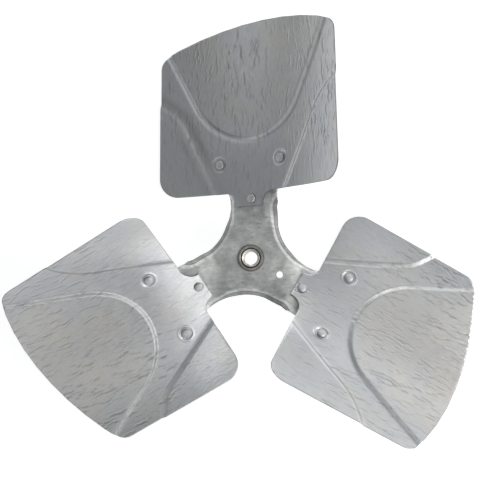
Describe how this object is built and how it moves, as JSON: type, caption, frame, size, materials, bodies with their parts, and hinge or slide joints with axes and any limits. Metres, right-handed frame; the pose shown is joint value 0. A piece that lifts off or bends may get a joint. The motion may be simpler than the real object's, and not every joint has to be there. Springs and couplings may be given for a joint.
{
  "type": "three-blade axial fan rotor",
  "caption": "Axial fan rotor: bent, embossed sheet-metal blades riveted to a stamped three-arm spider with a short bored hub and a set screw.",
  "frame": {"origin": "on the shaft axis, at the front face of the spider's flat centre, which is where the shaft holds the rotor; the centre of mass lies about 9 mm in front of it", "axes": "+Z along the shaft axis, to the side of the rivet heads and the concave faces of the blades; +Y along blade 1; blades 2 and 3 follow clockwise seen from +Z"},
  "size_m": [0.437, 0.4, 0.1115],
  "materials": {
    "blade_sheet": "satin, with a pressed grain",
    "spider_plate": "dull zinc plate",
    "rivet_metal": "satin plate",
    "bushing_steel": "machined, with a dark groove",
    "screw_steel": "blackened"
  },
  "bodies": {
    "root": {"spider": "spider_plate", "hub_bushing": "bushing_steel", "set_screw": "screw_steel", "blade_1": "blade_sheet", "blade_2": "blade_sheet", "blade_3": "blade_sheet", "rivet_root_1": "rivet_metal", "rivet_root_2": "rivet_metal", "rivet_root_3": "rivet_metal", "rivet_leading_1": "rivet_metal", "rivet_leading_2": "rivet_metal", "rivet_leading_3": "rivet_metal", "rivet_trailing_1": "rivet_metal", "rivet_trailing_2": "rivet_metal", "rivet_trailing_3": "rivet_metal"}
  },
  "joints": []
}
